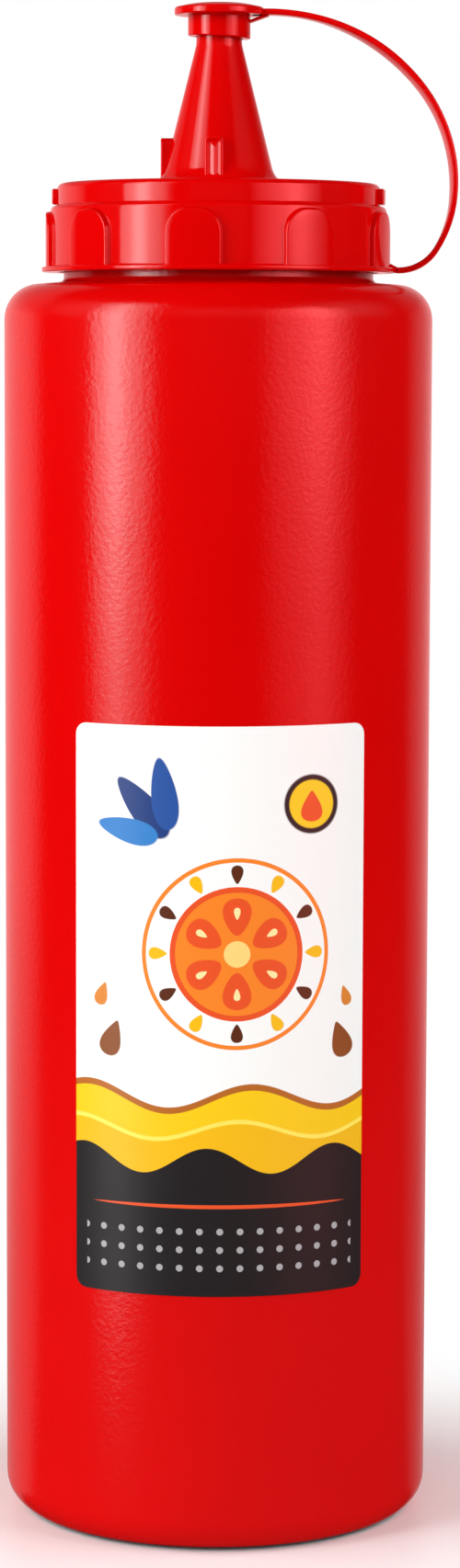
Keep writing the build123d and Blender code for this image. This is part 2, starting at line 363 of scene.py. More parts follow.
blown, tree, shader = new_material("blown_polyethylene_red")
place = add(tree, "ShaderNodeTexCoord")
grain = add(tree, "ShaderNodeTexNoise", {
    "Vector": place.outputs["Object"], "Scale": 1 / (GRAIN_MM * MM), "Detail": 3.0,
    "Roughness": 0.55})
wave = add(tree, "ShaderNodeTexNoise", {
    "Vector": place.outputs["Object"], "Scale": 1 / (WALL_WAVE_MM * MM), "Detail": 1.0})
pigment = add(tree, "ShaderNodeMix", {
    "Factor": wave.outputs["Fac"], "A": linear(RED_PIGMENT[0]), "B": linear(RED_PIGMENT[1])},
    data_type="RGBA")
satin = add(tree, "ShaderNodeMapRange", {
    "Value": grain.outputs["Fac"], "To Min": SATIN[0], "To Max": SATIN[1]})
wavy = add(tree, "ShaderNodeBump", {
    "Height": wave.outputs["Fac"], "Distance": WALL_WAVE_DEPTH_MM * MM, "Strength": 1.0})
peel = add(tree, "ShaderNodeBump", {
    "Height": grain.outputs["Fac"], "Distance": GRAIN_DEPTH_MM * MM, "Strength": 1.0,
    "Normal": wavy.outputs["Normal"]})
feed(shader, {
    "Base Color": pigment.outputs[2], "Roughness": satin.outputs["Result"],
    "Normal": peel.outputs["Normal"], "IOR": 1.51, "Subsurface Weight": 0.08,
    "Subsurface Radius": (1.0, 0.1, 0.1), "Subsurface Scale": 1.0 * MM})
print("grain", GRAIN_MM, "mm, wall wave", WALL_WAVE_MM, "mm")

# %% Moulded polypropylene: glossy, with faint flow waves
# A polished mould gives sharp reflections. The melt cools unevenly over a few millimetres, and
# that bends them slightly.
FLOW_MM = 7.0
FLOW_DEPTH_MM = 0.02
POLISH = (0.06, 0.10)

moulded, tree, shader = new_material("moulded_polypropylene_red")
place = add(tree, "ShaderNodeTexCoord")
flow = add(tree, "ShaderNodeTexNoise", {
    "Vector": place.outputs["Object"], "Scale": 1 / (FLOW_MM * MM), "Detail": 2.0})
pigment = add(tree, "ShaderNodeMix", {
    "Factor": flow.outputs["Fac"], "A": linear(RED_PIGMENT[0]), "B": linear(RED_PIGMENT[1])},
    data_type="RGBA")
polish = add(tree, "ShaderNodeMapRange", {
    "Value": flow.outputs["Fac"], "To Min": POLISH[0], "To Max": POLISH[1]})
sink = add(tree, "ShaderNodeBump", {
    "Height": flow.outputs["Fac"], "Distance": FLOW_DEPTH_MM * MM, "Strength": 1.0})
feed(shader, {
    "Base Color": pigment.outputs[2], "Roughness": polish.outputs["Result"],
    "Normal": sink.outputs["Normal"], "IOR": 1.49})
print("flow waves", FLOW_MM, "mm")

# %% [markdown]
# ## The bottle
# Blowing leaves a round at the base and at the shoulder, a pushed-up base that keeps the
# bottle from rocking, and a stiff neck. The profile runs from the middle of the base up the
# outside, over the lip and down the inside, so the bottle is one closed skin with a 1 mm wall.

# %% Bottle profile
BODY = 40.0
SHOULDER = 232.0
NECK = 28.9
LIP_RADIUS = 28.2
LIP = 248.5
BORE = 26.8
WALL = 1.0
SHOULDER_EDGE = SHOULDER - 0.3
SHOULDER_ROUND = 6.6
NECK_FOOT = SHOULDER + 0.6
NECK_TOP = 245.1
LIP_FOOT = 245.45
BASE_ROUND = 6.0
STAND = 28.8
STAND_ROUND = 1.6
PUSH_UP = 3.2
PUSH_UP_EDGE = 23.8
PUSH_UP_ROUND = 3.0

bottle_profile = rounded([
    (0, PUSH_UP, 0), (PUSH_UP_EDGE, PUSH_UP, PUSH_UP_ROUND), (STAND, 0, STAND_ROUND),
    (BODY, 0, BASE_ROUND), (BODY, SHOULDER_EDGE, SHOULDER_ROUND),
    (NECK, NECK_FOOT, 0.9), (NECK, NECK_TOP, 0), (LIP_RADIUS, LIP_FOOT, 0), (LIP_RADIUS, LIP, 0.3),
    (BORE, LIP, 0.3), (BORE, NECK_FOOT - WALL, 1.5),
    (BODY - WALL, SHOULDER_EDGE - WALL, SHOULDER_ROUND - WALL),
    (BODY - WALL, WALL, BASE_ROUND - WALL), (STAND, WALL, STAND_ROUND),
    (PUSH_UP_EDGE, PUSH_UP + WALL, PUSH_UP_ROUND), (0, PUSH_UP + WALL, 0),
], steps=10)
bottle = piece("bottle_body", turned(bottle_profile), blown)
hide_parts("bottle")
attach(bottle, "bottle")
print("bottle profile has", len(bottle_profile), "points")

# %% [markdown]
# ## Threads
# A thread is one ridge that follows a helix, four millimetres a turn. It could be modelled by
# hand from a twisted strip, but Geometry Nodes say it as it is: a spiral curve, swept with a
# round section that dwindles at both ends. The neck and the cap use the same tree with
# other sizes, half a turn apart, so that the two ridges lie in each other's gaps.

# %% What the trees share
def from_nearer_end(group):
    """The share of a curve's length from its nearer end."""
    along = add(group, "GeometryNodeSplineParameter").outputs["Factor"]
    from_end = add(group, "ShaderNodeMath", {0: 1.0, 1: along}, operation="SUBTRACT")
    return add(group, "ShaderNodeMath", {0: along, 1: from_end.outputs[0]},
               operation="MINIMUM").outputs[0]


def finished(group, geometry, material):
    """End a tree: copies are made real, the material is set and the geometry handed out."""
    real = add(group, "GeometryNodeRealizeInstances", {"Geometry": geometry})
    painted = add(group, "GeometryNodeSetMaterial", {
        "Geometry": real.outputs["Geometry"], "Material": material})
    add(group, "NodeGroupOutput", {"Geometry": painted.outputs["Geometry"]})
    print("tree", group.name, "has", len(group.nodes), "nodes")


def socket_id(group, name):
    """The identifier of a tree's named input, which a modifier needs."""
    sockets = group.interface.items_tree
    return next(s.identifier for s in sockets if s.name == name and s.in_out == "INPUT")


def baked(name, mesh, group, values):
    """Run a tree on a mesh with these input values, and give the result as a plain mesh."""
    source = bpy.data.objects.new(name, mesh)
    bpy.context.scene.collection.objects.link(source)
    modifier = source.modifiers.new("shape", "NODES")
    modifier.node_group = group
    for key, value in values.items():
        modifier[socket_id(group, key)] = value
    bpy.context.view_layer.update()
    evaluated = source.evaluated_get(bpy.context.evaluated_depsgraph_get())
    result = bpy.data.meshes.new_from_object(evaluated)
    source.modifiers.remove(modifier)
    bpy.data.objects.remove(source)
    result.name = name
    made = bpy.data.objects.new(name, result)
    bpy.context.scene.collection.objects.link(made)
    print(name, len(result.polygons), "faces")
    return made


# %% A node tree for a thread
# A right-hand thread rises as it turns anticlockwise seen from above, which the spiral node
# makes with its Reverse switch on.
STEPS_A_TURN = 96
SECTION_STEPS = 12
RUN_OUT_SHARE = 0.07
RUN_OUT_SIZE = 0.15

thread_tree = bpy.data.node_groups.new("thread", "GeometryNodeTree")
given = with_sockets(thread_tree, {"Geometry": "Geometry"}, {
    "Geometry": "Geometry", "Radius": "Float", "Turns": "Float", "Pitch": "Float",
    "Start": "Float", "Ridge": "Float", "Material": "Material"})
rise = add(thread_tree, "ShaderNodeMath", {0: given["Turns"], 1: given["Pitch"]},
           operation="MULTIPLY")
spiral = add(thread_tree, "GeometryNodeCurveSpiral", {
    "Resolution": STEPS_A_TURN, "Rotations": given["Turns"], "Start Radius": given["Radius"],
    "End Radius": given["Radius"], "Height": rise.outputs[0], "Reverse": True})
run_out = add(thread_tree, "ShaderNodeMapRange", {
    "Value": from_nearer_end(thread_tree), "From Max": RUN_OUT_SHARE, "To Min": RUN_OUT_SIZE},
    interpolation_type="SMOOTHSTEP")
tapered = add(thread_tree, "GeometryNodeSetCurveRadius", {
    "Curve": spiral.outputs["Curve"], "Radius": run_out.outputs["Result"]})
section = add(thread_tree, "GeometryNodeCurvePrimitiveCircle", {
    "Resolution": SECTION_STEPS, "Radius": given["Ridge"]})
swept = add(thread_tree, "GeometryNodeCurveToMesh", {
    "Curve": tapered.outputs["Curve"], "Profile Curve": section.outputs["Curve"],
    "Scale": run_out.outputs["Result"], "Fill Caps": True})
lift = add(thread_tree, "ShaderNodeCombineXYZ", {"Z": given["Start"]})
placed = add(thread_tree, "GeometryNodeTransform", {
    "Geometry": swept.outputs["Mesh"], "Translation": lift.outputs["Vector"]})
finished(thread_tree, placed.outputs["Geometry"], given["Material"])

# %% Neck and cap threads
PITCH = 4.0
NECK_TURNS = 2.0
CAP_TURNS = 1.6
THREAD_RIDGE = 0.9
THREAD_START = 235.9
CAP_BORE = 30.1


def thread(name, radius, turns, start, material):
    """A right-hand thread ridge in mm, baked to a plain mesh."""
    values = {"Radius": radius * MM, "Turns": turns, "Pitch": PITCH * MM, "Start": start * MM,
              "Ridge": THREAD_RIDGE * MM, "Material": material}
    return baked(name, bpy.data.meshes.new(name + "_seed"), thread_tree, values)


neck_thread = thread("neck_thread", NECK, NECK_TURNS, THREAD_START, blown)
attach(neck_thread, "bottle")
cap_thread = thread("cap_thread", CAP_BORE, CAP_TURNS, THREAD_START + PITCH / 2, moulded)
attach(cap_thread, "cap")

# %% [markdown]
# ## The screw cap
# One injection moulding: a thin flange at the foot, a grip ring, a narrower upper ring, a flat
# deck and the nozzle cone, which runs out into the deck with a soft flare. It is turned from
# one profile that goes round the outside and back through the bore, so the wall is real and
# the nozzle is hollow.

# %% Cap profile
FLANGE = 33.0
CAP_FOOT = 234.4
FLANGE_TOP = 235.35
GRIP = 31.3
STEP = 246.6
RING = 30.1
DECK = 250.8
CONE_FOOT = 10.7
CONE_TOP = 276.5
NOZZLE = 4.25
NOZZLE_TOP = 281.8
OUTLET = 2.5
OUTLET_FOOT = 277.3
CONE_BORE = 9.54
CEILING = 249.3
LIP_SEAT = 28.5
LIP_SEAT_FOOT = 245.4

cap_profile = rounded([
    (CAP_BORE, CAP_FOOT, 0.15), (FLANGE, CAP_FOOT, 0.3), (FLANGE, FLANGE_TOP, 0.3),
    (GRIP, FLANGE_TOP, 0.3), (GRIP, STEP, 0.8), (RING, STEP, 0.3), (RING, DECK, 1.1),
    (CONE_FOOT, DECK, 3.8), (NOZZLE, CONE_TOP, 5.0), (NOZZLE, NOZZLE_TOP, 0.35),
    (OUTLET, NOZZLE_TOP, 0.3), (OUTLET, OUTLET_FOOT, 0), (CONE_BORE, CEILING, 0.8),
    (LIP_SEAT, CEILING, 0.3),
    (LIP_SEAT, LIP_SEAT_FOOT, 0), (CAP_BORE, LIP_SEAT_FOOT, 0.2),
], closed=True)
screw_cap = piece("screw_cap_moulding", turned(cap_profile, closed=True), moulded)
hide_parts("screw_cap")
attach(screw_cap, "cap")

# %% [markdown]
# ## Grips, lugs and ribs
# Nine arched pads stand a millimetre proud of the grip ring for the fingers, two low lugs lie
# on the upper ring, and three ribs brace the foot of the nozzle. They share one make-up: an
# outline that shrinks towards a line in its middle while it comes forward, which leaves a
# rolled edge all round as a polished mould does. A bevel would give the same edge, but it
# breaks where the outline meets the round wall.

# %% Raised forms on a round wall
FLANK_GAP = 1.2
MERGE_MM = 0.002


def finer(path, gap):
    """A path with more points on its long runs."""
    points = [path[0]]
    for here, there in zip(path, path[1:]):
        count = max(1, math.ceil((there - here).length / gap))
        points += [here.lerp(there, i / count) for i in range(1, count + 1)]
    return points


def arch(half_width, foot, top, corner, gap):
    """The outline of an arch in mm across and up, in steps of a gap."""
    path = rounded([
        (half_width, foot, 0), (half_width, top, corner),
        (-half_width, top, corner), (-half_width, foot, 0)], steps=12, closed=True)
    return finer(path + path[:1], gap)[:-1]


def raised(path, spine, reach, root, flank):
    """A closed form on the front of a round wall, from its root radius out along its flank.

    The spine is a half width, a low and a high end, which the outline shrinks to over reach.
    The flank is the form's edge in section: points of inset from the outline and of radius.
    """
    half_spine, low_end, high_end = spine
    layers = [(reach, None), (flank[0][0], None)]
    layers += [tuple(point) for point in finer(flank, FLANK_GAP)]
    build = bmesh.new()
    rings = []
    for inset, radius in layers:
        ring = []
        for point in path:
            middle = Vector((max(-half_spine, min(half_spine, point.x)),
                             max(low_end, min(high_end, point.y))))
            across, up = middle + (point - middle) * (1 - inset / reach)
            r = radius or root(up)
            a = across / flank[-1][1]
            ring.append(build.verts.new(Vector((r * math.sin(a), -r * math.cos(a), up)) * MM))
        rings.append(ring)
    for low, high in zip(rings, rings[1:]):
        for i in range(len(path)):
            j = (i + 1) % len(path)
            build.faces.new((low[i], low[j], high[j], high[i]))
    bmesh.ops.remove_doubles(build, verts=build.verts, dist=MERGE_MM * MM)
    bmesh.ops.recalc_face_normals(build, faces=build.faces)
    return build


print("a flank is drawn in steps of", FLANK_GAP, "mm")

# %% A node tree that sets copies round the axis
ring_tree = bpy.data.node_groups.new("set_round_the_axis", "GeometryNodeTree")
given = with_sockets(ring_tree, {"Geometry": "Geometry"}, {
    "Geometry": "Geometry", "Count": "Int", "First": "Float", "Step": "Float",
    "Material": "Material"})
spots = add(ring_tree, "GeometryNodePoints", {"Count": given["Count"]})
number = add(ring_tree, "GeometryNodeInputIndex")
turn = add(ring_tree, "ShaderNodeMath", {
    0: number.outputs["Index"], 1: given["Step"], 2: given["First"]}, operation="MULTIPLY_ADD")
about = add(ring_tree, "ShaderNodeCombineXYZ", {"Z": turn.outputs[0]})
copies = add(ring_tree, "GeometryNodeInstanceOnPoints", {
    "Points": spots.outputs["Points"], "Instance": given["Geometry"],
    "Rotation": about.outputs["Vector"]})
finished(ring_tree, copies.outputs["Instances"], given["Material"])


def round_the_cap(name, build, count, first, step):
    """Copies of a raised form round the axis, as one mesh that rides on the cap."""
    mesh = bpy.data.meshes.new(name)
    build.to_mesh(mesh)
    build.free()
    mesh.shade_smooth()
    mesh.set_sharp_from_angle(angle=math.radians(50))
    made = baked(name, mesh, ring_tree, {
        "Count": count, "First": math.radians(first), "Step": math.radians(step),
        "Material": moulded})
    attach(made, "cap")


# %% Grip pads
# Each raised form starts a little inside the wall, so that no gap shows at its foot.
PAD_COUNT = 9
PAD_TURN = -3.5
PAD_HALF = 5.4
PAD_CORNER = 4.5
PAD_FOOT = FLANGE_TOP - 0.7
PAD_TOP = 245.65
PAD_FRONT = GRIP + 1.0
SUNK = 0.3

pad_flank = rounded([
    (-0.35, GRIP - 0.06, 0), (0, GRIP, 0.15), (0.25, PAD_FRONT, 0.35), (PAD_HALF, PAD_FRONT, 0),
], steps=5)
pad = raised(
    arch(PAD_HALF, PAD_FOOT, PAD_TOP, PAD_CORNER, gap=1.5),
    (0, PAD_FOOT + 0.4, PAD_TOP - PAD_HALF), PAD_HALF, lambda z: GRIP - SUNK, pad_flank)
round_the_cap("grip_pads", pad, PAD_COUNT, PAD_TURN, 360 / PAD_COUNT)

# %% Lugs on the upper ring
LUG_MIDDLE = 248.4
LUG_HALF = 3.4
LUG_THIN = 1.45
LUG_CORNER = 0.35
LUG_FRONT = RING + 1.0

lug_points = [(x * LUG_HALF, LUG_MIDDLE + z * LUG_THIN, LUG_CORNER)
              for x, z in ((1, -1), (1, 1), (-1, 1), (-1, -1))]
lug_outline = rounded(lug_points, steps=4, closed=True)
lug_flank = rounded([(0, RING, 0), (0, LUG_FRONT, 0.3), (LUG_THIN, LUG_FRONT, 0)], steps=5)
lug = raised(
    finer(lug_outline + lug_outline[:1], gap=1.2)[:-1],
    (LUG_HALF - LUG_THIN, LUG_MIDDLE, LUG_MIDDLE), LUG_THIN, lambda z: RING - SUNK, lug_flank)
round_the_cap("ring_lugs", lug, count=2, first=90, step=180)

# %% Ribs at the nozzle's foot
RIB_HALF = 1.8
RIB_CORNER = 1.0
RIB_TOP = 259.3
RIB_REACH = 10.85
RIB_SUNK = 0.8
CONE_LEAN = (CONE_FOOT - NOZZLE) / (CONE_TOP - DECK)

rib_flank = rounded([
    (0, RIB_REACH - 0.6, 0), (0, RIB_REACH, 0.3), (0.5, RIB_REACH, 0.2),
    (1.1, RIB_REACH - 0.3, 0.2), (RIB_HALF, RIB_REACH, 0),
], steps=5)
rib = raised(
    arch(RIB_HALF, DECK - 0.5, RIB_TOP, RIB_CORNER, gap=1.0),
    (0, DECK - 0.3, RIB_TOP - RIB_HALF), RIB_HALF,
    lambda z: CONE_FOOT - RIB_SUNK - (z - DECK) * CONE_LEAN, rib_flank)
round_the_cap("nozzle_ribs", rib, count=3, first=-180, step=90)

# %% [markdown]
# ## The tip cap
# A domed disc with a short skirt that grips the nozzle and a plug that stops its hole. The
# skirt's foot is cut a little askew, lower on the strap's side, as the mould leaves it. It is
# turned like the cap, and only the foot of the skirt is sheared afterwards.

# %% Tip cap
DISC = 8.3
DISC_FOOT = 281.9
DISC_RIM = 283.3
DISC_CROWN = 284.1
CROWN_EDGE = 4.8
CROWN_ROUND = 14.0
SKIRT = 5.8
SKIRT_BORE = 4.45
SKIRT_FOOT = 277.8
SKIRT_SLOPE = math.tan(math.radians(3.0))
PLUG = 2.2
PLUG_FOOT = 278.7

tip_profile = rounded([
    (0, PLUG_FOOT, 0), (PLUG, PLUG_FOOT, 0.5), (PLUG, DISC_FOOT, 0.2),
    (SKIRT_BORE, DISC_FOOT, 0.2), (SKIRT_BORE, SKIRT_FOOT, 0.2), (SKIRT, SKIRT_FOOT, 0.3),
    (SKIRT, DISC_FOOT, 0.4), (DISC, DISC_FOOT, 0.3), (DISC, DISC_RIM, 0.5),
    (CROWN_EDGE, DISC_CROWN, CROWN_ROUND), (0, DISC_CROWN, 0),
], steps=8)
tip_build = turned(tip_profile, steps=160)
shear_from = DISC_FOOT - 1
for corner_point in tip_build.verts:
    x, y, z = corner_point.co / MM
    if math.hypot(x, y) > NOZZLE and z < shear_from:
        share = (shear_from - z) / (shear_from - SKIRT_FOOT)
        corner_point.co.z -= x * SKIRT_SLOPE * share * MM
tip_cap = piece("tip_cap_moulding", tip_build, moulded)
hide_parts("tip_cap")
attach(tip_cap, "tip")

# %% [markdown]
# ## The strap and its roots
# The strap is a flat band that leaves the disc level, bows out and comes back in under the
# grip ring. It follows four arcs that run into each other, so Geometry Nodes sweep a rounded
# band along them. Bent over by hand, it also twists a little between its two ends, which shows
# its inner face as a pale line. Short stiffened tabs join it to both ends.

# %% Course of the strap
# Each arc: radius in mm and degrees. Both ends are tucked a little into their tabs.
STRAP_TOP = (9.0, 282.45)
STRAP_ARCS = ((36.45, 51), (29.05, 45), (21.0, 26), (8.1, 58))
ARC_STEPS = 28
TUCK = 0.4

course = [Vector((STRAP_TOP[0] - TUCK, STRAP_TOP[1])), Vector(STRAP_TOP)]
heading = 0.0
for radius, degrees in STRAP_ARCS:
    centre = course[-1] + radius * Vector((math.sin(heading), -math.cos(heading)))
    for step in range(1, ARC_STEPS + 1):
        now = heading - math.radians(degrees) * step / ARC_STEPS
        course.append(centre + radius * Vector((-math.sin(now), math.cos(now))))
    heading = now
course.append(course[-1] + Vector((-TUCK, 0)))

# %% A node tree for a twisted band
# The twist grows from each end, between these two shares of the length.
TWIST_FROM = 0.04
TWIST_FULL = 0.36

strap_tree = bpy.data.node_groups.new("band_along_a_line", "GeometryNodeTree")
given = with_sockets(strap_tree, {"Geometry": "Geometry"}, {
    "Geometry": "Geometry", "Width": "Float", "Thickness": "Float", "Corner": "Float",
    "Twist": "Float", "Material": "Material"})
line = add(strap_tree, "GeometryNodeMeshToCurve", {"Mesh": given["Geometry"]})
lean = add(strap_tree, "ShaderNodeMapRange", {
    "Value": from_nearer_end(strap_tree), "From Min": TWIST_FROM, "From Max": TWIST_FULL,
    "To Max": given["Twist"]}, interpolation_type="SMOOTHSTEP")
twisted = add(strap_tree, "GeometryNodeSetCurveTilt", {
    "Curve": line.outputs["Curve"], "Tilt": lean.outputs["Result"]})
oblong = add(strap_tree, "GeometryNodeCurvePrimitiveQuadrilateral", {
    "Width": given["Width"], "Height": given["Thickness"]})
soft = add(strap_tree, "GeometryNodeFilletCurve", {
    "Curve": oblong.outputs["Curve"], "Count": 4, "Radius": given["Corner"]}, mode="POLY")
band = add(strap_tree, "GeometryNodeCurveToMesh", {
    "Curve": twisted.outputs["Curve"], "Profile Curve": soft.outputs["Curve"],
    "Fill Caps": True})
finished(strap_tree, band.outputs["Mesh"], given["Material"])

# %% Strap
STRAP_WIDTH = 4.0
STRAP_THICKNESS = 1.1
STRAP_CORNER = 0.3
STRAP_TWIST = -13.0

course_mesh = bpy.data.meshes.new("strap_course")
course_places = [(x * MM, 0, z * MM) for x, z in course]
course_mesh.from_pydata(course_places, [(i, i + 1) for i in range(len(course) - 1)], [])
strap = baked("tether_strap_band", course_mesh, strap_tree, {
    "Width": STRAP_WIDTH * MM, "Thickness": STRAP_THICKNESS * MM, "Corner": STRAP_CORNER * MM,
    "Twist": math.radians(STRAP_TWIST), "Material": moulded})
strap.data.shade_smooth()
strap.data.set_sharp_from_angle(angle=math.radians(40))
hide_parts("tether_strap")
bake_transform(strap)
print("strap box in mm:", [round(d * 1000, 2) for d in strap.dimensions])

# %% Tabs and gussets at both ends of the strap
STRAP_HALF = STRAP_WIDTH / 2
GUSSET_HALF = 1.2
TAB_EDGE = 0.28


def slab(name, outline, half_width, body, edge=0.18):
    """A flat form from an outline of across and height in mm, with rolled edges."""
    build = bmesh.new()
    corners = [Vector((x, -half_width, z)) * MM for x, z in outline]
    build.faces.new([build.verts.new(corner) for corner in corners])
    grown = bmesh.ops.extrude_face_region(build, geom=build.faces[:])["geom"]
    moved = [v for v in grown if isinstance(v, bmesh.types.BMVert)]
    bmesh.ops.translate(build, verts=moved, vec=(0, 2 * half_width * MM, 0))
    bmesh.ops.recalc_face_normals(build, faces=build.faces)
    bmesh.ops.bevel(build, geom=build.edges[:], offset=edge * MM, segments=3, profile=0.5,
                    affect="EDGES")
    made = piece(name, build, moulded)
    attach(made, body)


slab("strap_tab", [(5.0, 281.9), (9.0, 281.9), (9.0, 283.0), (5.0, 283.0)],
     STRAP_HALF, "tip", TAB_EDGE)
slab("strap_gusset", [(5.1, 280.45), (5.8, 280.45), (9.3, 281.7), (9.3, 282.1), (8.7, 282.1),
                      (5.8, 281.0), (5.1, 281.0)], GUSSET_HALF, "tip")
slab("strap_root", [(31.0, 234.4), (33.7, 234.4), (33.7, 235.35), (31.3, 236.55), (31.0, 236.55)],
     STRAP_HALF, "cap")

# %% [markdown]
# ## The sealing ring
# A washer of white foamed polyethylene between the lip and the cap. It is punched from sheet,
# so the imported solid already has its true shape, and it only needs a material: dull, with the
# tiny cells of the foam.

# %% Foamed polyethylene
# Cut cells scatter the light, so the foam looks dull and faintly mottled. Real cells are 0.1 to
# 0.3 mm wide; they are drawn at half a millimetre, so that they show.
CELL_MM = 0.5
PIT_MM = 0.05

foam, tree, shader = new_material("foamed_polyethylene_white")
place = add(tree, "ShaderNodeTexCoord")
cells = add(tree, "ShaderNodeTexVoronoi", {
    "Vector": place.outputs["Object"], "Scale": 1 / (CELL_MM * MM)})
tone = add(tree, "ShaderNodeMix", {
    "Factor": cells.outputs["Distance"], "A": linear("#EDEDE8"), "B": linear("#DCDCD4")},
    data_type="RGBA")
pits = add(tree, "ShaderNodeBump", {
    "Height": cells.outputs["Distance"], "Distance": PIT_MM * MM})
feed(shader, {
    "Base Color": tone.outputs[2], "Normal": pits.outputs["Normal"], "Roughness": 0.75,
    "IOR": 1.5})
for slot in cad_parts["sealing_ring"].material_slots:
    slot.material = foam

# %% [markdown]
# ## The label
# A film of white polypropylene, printed and glued round the front. It is a strip of narrow
# columns on the bottle's curve, shorter at both sides so that its corners are round, and it
# has a real thickness. Its UV map is in millimetres from the middle of its foot, so the print
# below can be drawn as on a drawing board.

# %% Label film
LABEL_HALF = 28.5
LABEL_HEIGHT = 104.3
LABEL_FOOT = 48.5
LABEL_CORNER = 2.2
LABEL_BACK = 40.1
LABEL_FRONT = 40.2
LABEL_TURN = math.radians(6.0)
LABEL_COLUMNS = 72
LABEL_ROWS = 40

film = bmesh.new()
print_map = film.loops.layers.uv.new("print_mm")
outer_share = [0, 0.04, 0.15, 0.33, 0.6]
flat = LABEL_HALF - LABEL_CORNER
columns = [-LABEL_HALF + s * LABEL_CORNER for s in outer_share]
columns += [-flat + 2 * flat * i / LABEL_COLUMNS for i in range(LABEL_COLUMNS + 1)]
columns += [LABEL_HALF - s * LABEL_CORNER for s in reversed(outer_share)]
sheets = []
for radius in (LABEL_FRONT, LABEL_BACK):
    sheet = []
    for across in columns:
        over = max(0, abs(across) - flat)
        cut = LABEL_CORNER - math.sqrt(LABEL_CORNER ** 2 - over ** 2)
        angle = LABEL_TURN + across / LABEL_FRONT
        column = []
        for row in range(LABEL_ROWS + 1):
            up = cut + (LABEL_HEIGHT - 2 * cut) * row / LABEL_ROWS
            corner = (radius * math.sin(angle), -radius * math.cos(angle), LABEL_FOOT + up)
            column.append((film.verts.new(Vector(corner) * MM), (across, up)))
        sheet.append(column)
    sheets.append(sheet)


def film_face(corners):
    """A face of the film, with each corner's place on the print."""
    made = film.faces.new([vertex for vertex, spot in corners])
    for loop, (vertex, spot) in zip(made.loops, corners):
        loop[print_map].uv = spot


last = len(columns) - 1
for sheet in sheets:
    for i in range(last):
        for j in range(LABEL_ROWS):
            film_face((sheet[i][j], sheet[i + 1][j], sheet[i + 1][j + 1], sheet[i][j + 1]))
front, back = sheets
for i in range(last):
    for j in (0, LABEL_ROWS):
        film_face((front[i][j], front[i + 1][j], back[i + 1][j], back[i][j]))
for i in (0, last):
    for j in range(LABEL_ROWS):
        film_face((front[i][j], front[i][j + 1], back[i][j + 1], back[i][j]))
bmesh.ops.recalc_face_normals(film, faces=film.faces)
print("label has", len(columns), "columns")

# %% [markdown]
# ## The print
# The design is a plain one of the trade: a slice of tomato in a ring of drops, three leaves,
# a wave of mustard and a dark foot with rows of dots. Every motif is an ellipse that can be
# turned and pinched to a drop, so one small shader group draws them all, and each is laid
# over the last as ink is. The ink itself is flat and semi-gloss.

# %% A group that draws one motif
# The edge of a motif is soft over a small share of its size, as ink spreads in print. The
# thinnest width keeps the tip of a drop from dividing by nothing.
MOTIF_EDGE = 0.03
THINNEST = 0.02

motif = bpy.data.node_groups.new("motif", "ShaderNodeTree")
given = with_sockets(motif, {"Mask": "Float"}, {
    "Place": "Vector", "Centre": "Vector", "Size": "Vector", "Turn": "Float", "Pinch": "Float"})
moved = add(motif, "ShaderNodeVectorMath", {0: given["Place"], 1: given["Centre"]},
            operation="SUBTRACT")
spun = add(motif, "ShaderNodeVectorRotate", {"Vector": moved.outputs[0], "Angle": given["Turn"]},
           rotation_type="Z_AXIS")
sized = add(motif, "ShaderNodeVectorMath", {0: spun.outputs[0], 1: given["Size"]},
            operation="DIVIDE")
split = add(motif, "ShaderNodeSeparateXYZ", {0: sized.outputs[0]})
slim = add(motif, "ShaderNodeMath", {0: split.outputs["Y"], 1: given["Pinch"], 2: 1.0},
           operation="MULTIPLY_ADD")
wide = add(motif, "ShaderNodeMath", {0: slim.outputs[0], 1: THINNEST}, operation="MAXIMUM")
across = add(motif, "ShaderNodeMath", {0: split.outputs["X"], 1: wide.outputs[0]},
             operation="DIVIDE")
pair = add(motif, "ShaderNodeCombineXYZ", {"X": across.outputs[0], "Y": split.outputs["Y"]})
span = add(motif, "ShaderNodeVectorMath", {0: pair.outputs[0]}, operation="LENGTH")
mask = add(motif, "ShaderNodeMapRange", {
    "Value": span.outputs["Value"], "From Min": 1 - MOTIF_EDGE, "From Max": 1 + MOTIF_EDGE,
    "To Min": 1.0, "To Max": 0.0})
add(motif, "NodeGroupOutput", {"Mask": mask.outputs["Result"]})
print("motif group has", len(motif.nodes), "nodes")

# %% Wedges round a centre
# The plane is folded like a fan, so that one motif shows in every wedge.
wedges = bpy.data.node_groups.new("wedges", "ShaderNodeTree")
given = with_sockets(wedges, {"Place": "Vector"}, {
    "Place": "Vector", "Centre": "Vector", "Half Wedge": "Float", "Shift": "Float"})
moved = add(wedges, "ShaderNodeVectorMath", {0: given["Place"], 1: given["Centre"]},
            operation="SUBTRACT")
reach = add(wedges, "ShaderNodeVectorMath", {0: moved.outputs[0]}, operation="LENGTH")
split = add(wedges, "ShaderNodeSeparateXYZ", {0: moved.outputs[0]})
way = add(wedges, "ShaderNodeMath", {0: split.outputs["X"], 1: split.outputs["Y"]},
          operation="ARCTAN2")
shifted = add(wedges, "ShaderNodeMath", {0: way.outputs[0], 1: given["Shift"]}, operation="ADD")
low = add(wedges, "ShaderNodeMath", {0: given["Half Wedge"], 1: -1.0}, operation="MULTIPLY")
folded = add(wedges, "ShaderNodeMath", {
    0: shifted.outputs[0], 1: given["Half Wedge"], 2: low.outputs[0]}, operation="WRAP")
sine = add(wedges, "ShaderNodeMath", {0: folded.outputs[0]}, operation="SINE")
cosine = add(wedges, "ShaderNodeMath", {0: folded.outputs[0]}, operation="COSINE")
flat_place = add(wedges, "ShaderNodeCombineXYZ", {"X": sine.outputs[0], "Y": cosine.outputs[0]})
